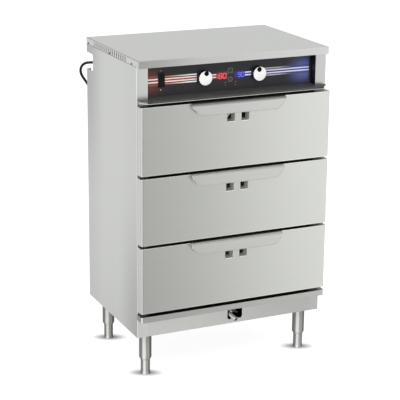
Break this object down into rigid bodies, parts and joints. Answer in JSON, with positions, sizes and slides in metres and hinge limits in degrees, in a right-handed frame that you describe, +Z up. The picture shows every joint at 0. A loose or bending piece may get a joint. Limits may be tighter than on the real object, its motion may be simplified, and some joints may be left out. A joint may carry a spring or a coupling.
{
  "type": "heated holding cabinet with drawers",
  "caption": "Free-standing heated food-holding cabinet with stacked pull-out drawers on slides, a recessed control panel, vent dampers, a drain and levelling legs.",
  "frame": {"origin": "on the floor, under the middle of the cabinet measured without its cord", "axes": "+X to the right as seen from the front, +Y from the front to the back, +Z up"},
  "size_m": [0.7053, 0.6488, 1.112],
  "materials": {
    "steel": "brushed stainless sheet",
    "bright_steel": "polished tube",
    "zinc": "plain zinc-plated sheet",
    "panel": "dark printed film with plain stripes",
    "knob": "satin",
    "black_plastic": "matte black",
    "display": "dark lens with lit digits",
    "gasket": "soft black",
    "cord": "black rubber jacket",
    "wool": "mineral wool blanket",
    "board": "green board",
    "valve": "plated brass",
    "lever": "red coated lever",
    "foam_core": "insulated core in thin sheet"
  },
  "bodies": {
    "cabinet": {"top_cover": "steel", "side_panel_left": "steel", "side_panel_right": "steel", "back_panel": "steel", "base_pan": "zinc", "front_skirt": "steel", "bottom_trim": "steel", "control_plate": "steel", "control_overlay": "panel", "inner_liner": "steel", "insulation": "wool", "cabinet_rails": "zinc", "cross_rails": "steel", "drawer_gaskets": "gasket", "heating_elements": "bright_steel", "water_tank": "steel", "drain_valve": "valve", "temperature_probe": "bright_steel", "control_board": "board", "power_supply": "zinc", "knob_encoders": "black_plastic", "display_modules": "display", "rocker_housing": "black_plastic", "leg_tubes": "bright_steel", "cover_screws": "bright_steel", "cord_gland": "black_plastic", "power_cord": "cord", "cord_coil": "cord", "power_plug": "cord"},
    "rocker": {"rocker": "black_plastic"},
    "heat_knob": {"heat_knob": "knob"},
    "humidity_knob": {"humidity_knob": "knob"},
    "key_upper": {"key_upper": "knob"},
    "key_lower": {"key_lower": "knob"},
    "drain_lever": {"drain_lever": "lever"},
    "foot_fl": {"foot_fl": "bright_steel"},
    "foot_fr": {"foot_fr": "bright_steel"},
    "foot_bl": {"foot_bl": "bright_steel"},
    "foot_br": {"foot_br": "bright_steel"},
    "bottom_drawer": {"bottom_drawer_front": "steel", "bottom_drawer_liner": "foam_core", "bottom_drawer_handle": "steel", "bottom_drawer_carrier": "zinc", "bottom_food_pan": "steel"},
    "bottom_damper": {"bottom_vent_damper": "steel"},
    "bottom_slides": {"bottom_middle_rails": "zinc"},
    "middle_drawer": {"middle_drawer_front": "steel", "middle_drawer_liner": "foam_core", "middle_drawer_handle": "steel", "middle_drawer_carrier": "zinc", "middle_food_pan": "steel"},
    "middle_damper": {"middle_vent_damper": "steel"},
    "middle_slides": {"middle_middle_rails": "zinc"},
    "top_drawer": {"top_drawer_front": "steel", "top_drawer_liner": "foam_core", "top_drawer_handle": "steel", "top_drawer_carrier": "zinc", "top_food_pan": "steel"},
    "top_damper": {"top_vent_damper": "steel"},
    "top_slides": {"top_middle_rails": "zinc"}
  },
  "joints": [
    {"name": "bottom_drawer_slide", "type": "slide", "parent": "cabinet", "child": "bottom_drawer", "axis": [0, -1, 0], "range_m": [0, 0.34]},
    {"name": "bottom_middle_slide", "type": "slide", "parent": "cabinet", "child": "bottom_slides", "axis": [0, -1, 0], "range_m": [0, 0.17]},
    {"name": "bottom_damper_slide", "type": "slide", "parent": "bottom_drawer", "child": "bottom_damper", "axis": [1, 0, 0], "range_m": [0, 0.121]},
    {"name": "middle_drawer_slide", "type": "slide", "parent": "cabinet", "child": "middle_drawer", "axis": [0, -1, 0], "range_m": [0, 0.34]},
    {"name": "middle_middle_slide", "type": "slide", "parent": "cabinet", "child": "middle_slides", "axis": [0, -1, 0], "range_m": [0, 0.17]},
    {"name": "middle_damper_slide", "type": "slide", "parent": "middle_drawer", "child": "middle_damper", "axis": [1, 0, 0], "range_m": [0, 0.121]},
    {"name": "top_drawer_slide", "type": "slide", "parent": "cabinet", "child": "top_drawer", "axis": [0, -1, 0], "range_m": [0, 0.34]},
    {"name": "top_middle_slide", "type": "slide", "parent": "cabinet", "child": "top_slides", "axis": [0, -1, 0], "range_m": [0, 0.17]},
    {"name": "top_damper_slide", "type": "slide", "parent": "top_drawer", "child": "top_damper", "axis": [1, 0, 0], "range_m": [-0.02, 0.101]},
    {"name": "heat_knob_turn", "type": "hinge", "parent": "cabinet", "child": "heat_knob", "pos_m": [-0.095, -0.1788, 1.03], "axis": [0, 1, 0], "continuous": true},
    {"name": "humidity_knob_turn", "type": "hinge", "parent": "cabinet", "child": "humidity_knob", "pos_m": [0.106, -0.1788, 1.03], "axis": [0, 1, 0], "continuous": true},
    {"name": "rocker_tip", "type": "hinge", "parent": "cabinet", "child": "rocker", "pos_m": [-0.2476, -0.1618, 1.0332], "axis": [1, 0, 0], "range_deg": [0, 14]},
    {"name": "key_upper_press", "type": "slide", "parent": "cabinet", "child": "key_upper", "axis": [0, 1, 0], "range_m": [0, 0.0008], "stiffness_N_per_m": 500},
    {"name": "key_lower_press", "type": "slide", "parent": "cabinet", "child": "key_lower", "axis": [0, 1, 0], "range_m": [0, 0.0008], "stiffness_N_per_m": 500},
    {"name": "drain_lever_turn", "type": "hinge", "parent": "cabinet", "child": "drain_lever", "pos_m": [0.016, -0.1928, 0.196], "axis": [0, -1, 0], "range_deg": [0, 90]},
    {"name": "foot_fl_level", "type": "slide", "parent": "cabinet", "child": "foot_fl", "axis": [0, 0, -1], "range_m": [0, 0.025]},
    {"name": "foot_fr_level", "type": "slide", "parent": "cabinet", "child": "foot_fr", "axis": [0, 0, -1], "range_m": [0, 0.025]},
    {"name": "foot_bl_level", "type": "slide", "parent": "cabinet", "child": "foot_bl", "axis": [0, 0, -1], "range_m": [0, 0.025]},
    {"name": "foot_br_level", "type": "slide", "parent": "cabinet", "child": "foot_br", "axis": [0, 0, -1], "range_m": [0, 0.025]}
  ],
  "couplings": [
    {"joint": "bottom_middle_slide", "follows": "bottom_drawer_slide", "ratio": 0.5},
    {"joint": "middle_middle_slide", "follows": "middle_drawer_slide", "ratio": 0.5},
    {"joint": "top_middle_slide", "follows": "top_drawer_slide", "ratio": 0.5}
  ]
}
